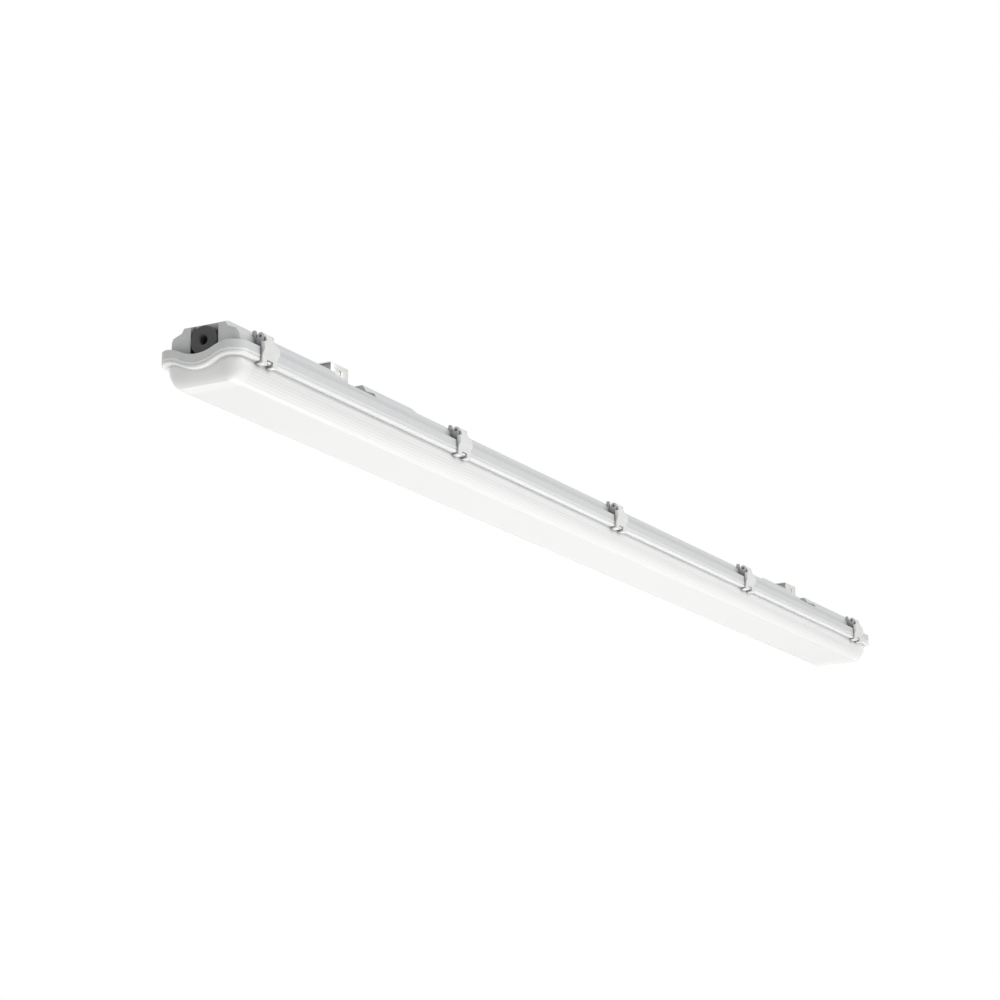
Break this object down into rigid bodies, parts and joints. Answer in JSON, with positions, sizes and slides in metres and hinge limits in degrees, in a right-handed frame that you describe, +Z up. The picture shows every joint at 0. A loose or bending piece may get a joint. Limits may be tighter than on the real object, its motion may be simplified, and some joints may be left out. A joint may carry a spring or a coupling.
{
  "type": "vapor tight light fixture",
  "caption": "Long sealed ceiling luminaire: grey housing, milky ribbed tub diffuser held by hinged side clips, sliding steel ceiling brackets, rubber cable entry.",
  "frame": {"origin": "in the ceiling plane, on the top faces of the brackets, midway between their two fixing holes", "axes": "+Z up into the ceiling, +X along the luminaire from the cable entry end to the plugged end, Y across it"},
  "size_m": [1.562, 0.107, 0.0733],
  "materials": {
    "housing_grp": "moulded, fine satin grain",
    "diffuser_pc": "milky polycarbonate, smooth outside",
    "clip_plastic": "moulded, satin",
    "stainless": "folded strip, brushed",
    "entry_rubber": "moulded rubber, matt",
    "seal_foam": "foamed in place",
    "tray_enamel": "white powder coat",
    "zinc_steel": "zinc plated",
    "board_white": "white solder mask",
    "led_phosphor": "phosphor over the chips",
    "connector_white": "moulded",
    "driver_enamel": "white enamel",
    "circuit_green": "green laminate",
    "brass_screw": "plated brass",
    "wire_blue": "insulated wire",
    "wire_brown": "insulated wire",
    "wire_green": "insulated wire",
    "wire_black": "insulated wire",
    "wire_red": "insulated wire"
  },
  "bodies": {
    "luminaire": {"housing": "housing_grp", "gasket": "seal_foam", "diffuser": "diffuser_pc", "clip_pins": "stainless", "cable_grommet": "entry_rubber", "blanking_plug": "entry_rubber", "gear_tray": "tray_enamel", "tray_screws": "zinc_steel", "board_screws": "zinc_steel", "led_packages": "led_phosphor", "link_connectors": "connector_white", "feed_connector": "connector_white", "driver_base": "zinc_steel", "driver_cover": "driver_enamel", "driver_board": "circuit_green", "driver_screws": "zinc_steel", "terminal_block": "connector_white", "terminal_screws": "brass_screw", "supply_wire_neutral": "wire_blue", "supply_wire_live": "wire_brown", "earth_wire": "wire_green", "earth_lug": "brass_screw", "earth_screw": "brass_screw", "led_wire_negative": "wire_black", "led_wire_positive": "wire_red", "led_board_1": "board_white", "led_board_2": "board_white", "led_board_3": "board_white", "led_board_4": "board_white", "led_board_5": "board_white"},
    "bracket_left": {"bracket_left": "stainless"},
    "bracket_right": {"bracket_right": "stainless"},
    "clip_front_1": {"clip_front_1": "clip_plastic"},
    "clip_front_2": {"clip_front_2": "clip_plastic"},
    "clip_front_3": {"clip_front_3": "clip_plastic"},
    "clip_front_4": {"clip_front_4": "clip_plastic"},
    "clip_front_5": {"clip_front_5": "clip_plastic"},
    "clip_rear_1": {"clip_rear_1": "clip_plastic"},
    "clip_rear_2": {"clip_rear_2": "clip_plastic"},
    "clip_rear_3": {"clip_rear_3": "clip_plastic"},
    "clip_rear_4": {"clip_rear_4": "clip_plastic"},
    "clip_rear_5": {"clip_rear_5": "clip_plastic"}
  },
  "joints": [
    {"name": "bracket_left_slide", "type": "slide", "parent": "luminaire", "child": "bracket_left", "axis": [1, 0, 0], "range_m": [0, 0.0205]},
    {"name": "bracket_right_slide", "type": "slide", "parent": "luminaire", "child": "bracket_right", "axis": [1, 0, 0], "range_m": [0, 0.0205]},
    {"name": "clip_front_1_hinge", "type": "hinge", "parent": "luminaire", "child": "clip_front_1", "pos_m": [-0.73525, -0.0451, -0.0251], "axis": [-1, 0, 0], "range_deg": [0, 110]},
    {"name": "clip_front_2_hinge", "type": "hinge", "parent": "luminaire", "child": "clip_front_2", "pos_m": [-0.37125, -0.0451, -0.0251], "axis": [-1, 0, 0], "range_deg": [0, 110]},
    {"name": "clip_front_3_hinge", "type": "hinge", "parent": "luminaire", "child": "clip_front_3", "pos_m": [-0.00725, -0.0451, -0.0251], "axis": [-1, 0, 0], "range_deg": [0, 110]},
    {"name": "clip_front_4_hinge", "type": "hinge", "parent": "luminaire", "child": "clip_front_4", "pos_m": [0.35675, -0.0451, -0.0251], "axis": [-1, 0, 0], "range_deg": [0, 110]},
    {"name": "clip_front_5_hinge", "type": "hinge", "parent": "luminaire", "child": "clip_front_5", "pos_m": [0.72075, -0.0451, -0.0251], "axis": [-1, 0, 0], "range_deg": [0, 110]},
    {"name": "clip_rear_1_hinge", "type": "hinge", "parent": "luminaire", "child": "clip_rear_1", "pos_m": [-0.73525, 0.0451, -0.0251], "axis": [1, 0, 0], "range_deg": [0, 110]},
    {"name": "clip_rear_2_hinge", "type": "hinge", "parent": "luminaire", "child": "clip_rear_2", "pos_m": [-0.37125, 0.0451, -0.0251], "axis": [1, 0, 0], "range_deg": [0, 110]},
    {"name": "clip_rear_3_hinge", "type": "hinge", "parent": "luminaire", "child": "clip_rear_3", "pos_m": [-0.00725, 0.0451, -0.0251], "axis": [1, 0, 0], "range_deg": [0, 110]},
    {"name": "clip_rear_4_hinge", "type": "hinge", "parent": "luminaire", "child": "clip_rear_4", "pos_m": [0.35675, 0.0451, -0.0251], "axis": [1, 0, 0], "range_deg": [0, 110]},
    {"name": "clip_rear_5_hinge", "type": "hinge", "parent": "luminaire", "child": "clip_rear_5", "pos_m": [0.72075, 0.0451, -0.0251], "axis": [1, 0, 0], "range_deg": [0, 110]}
  ]
}
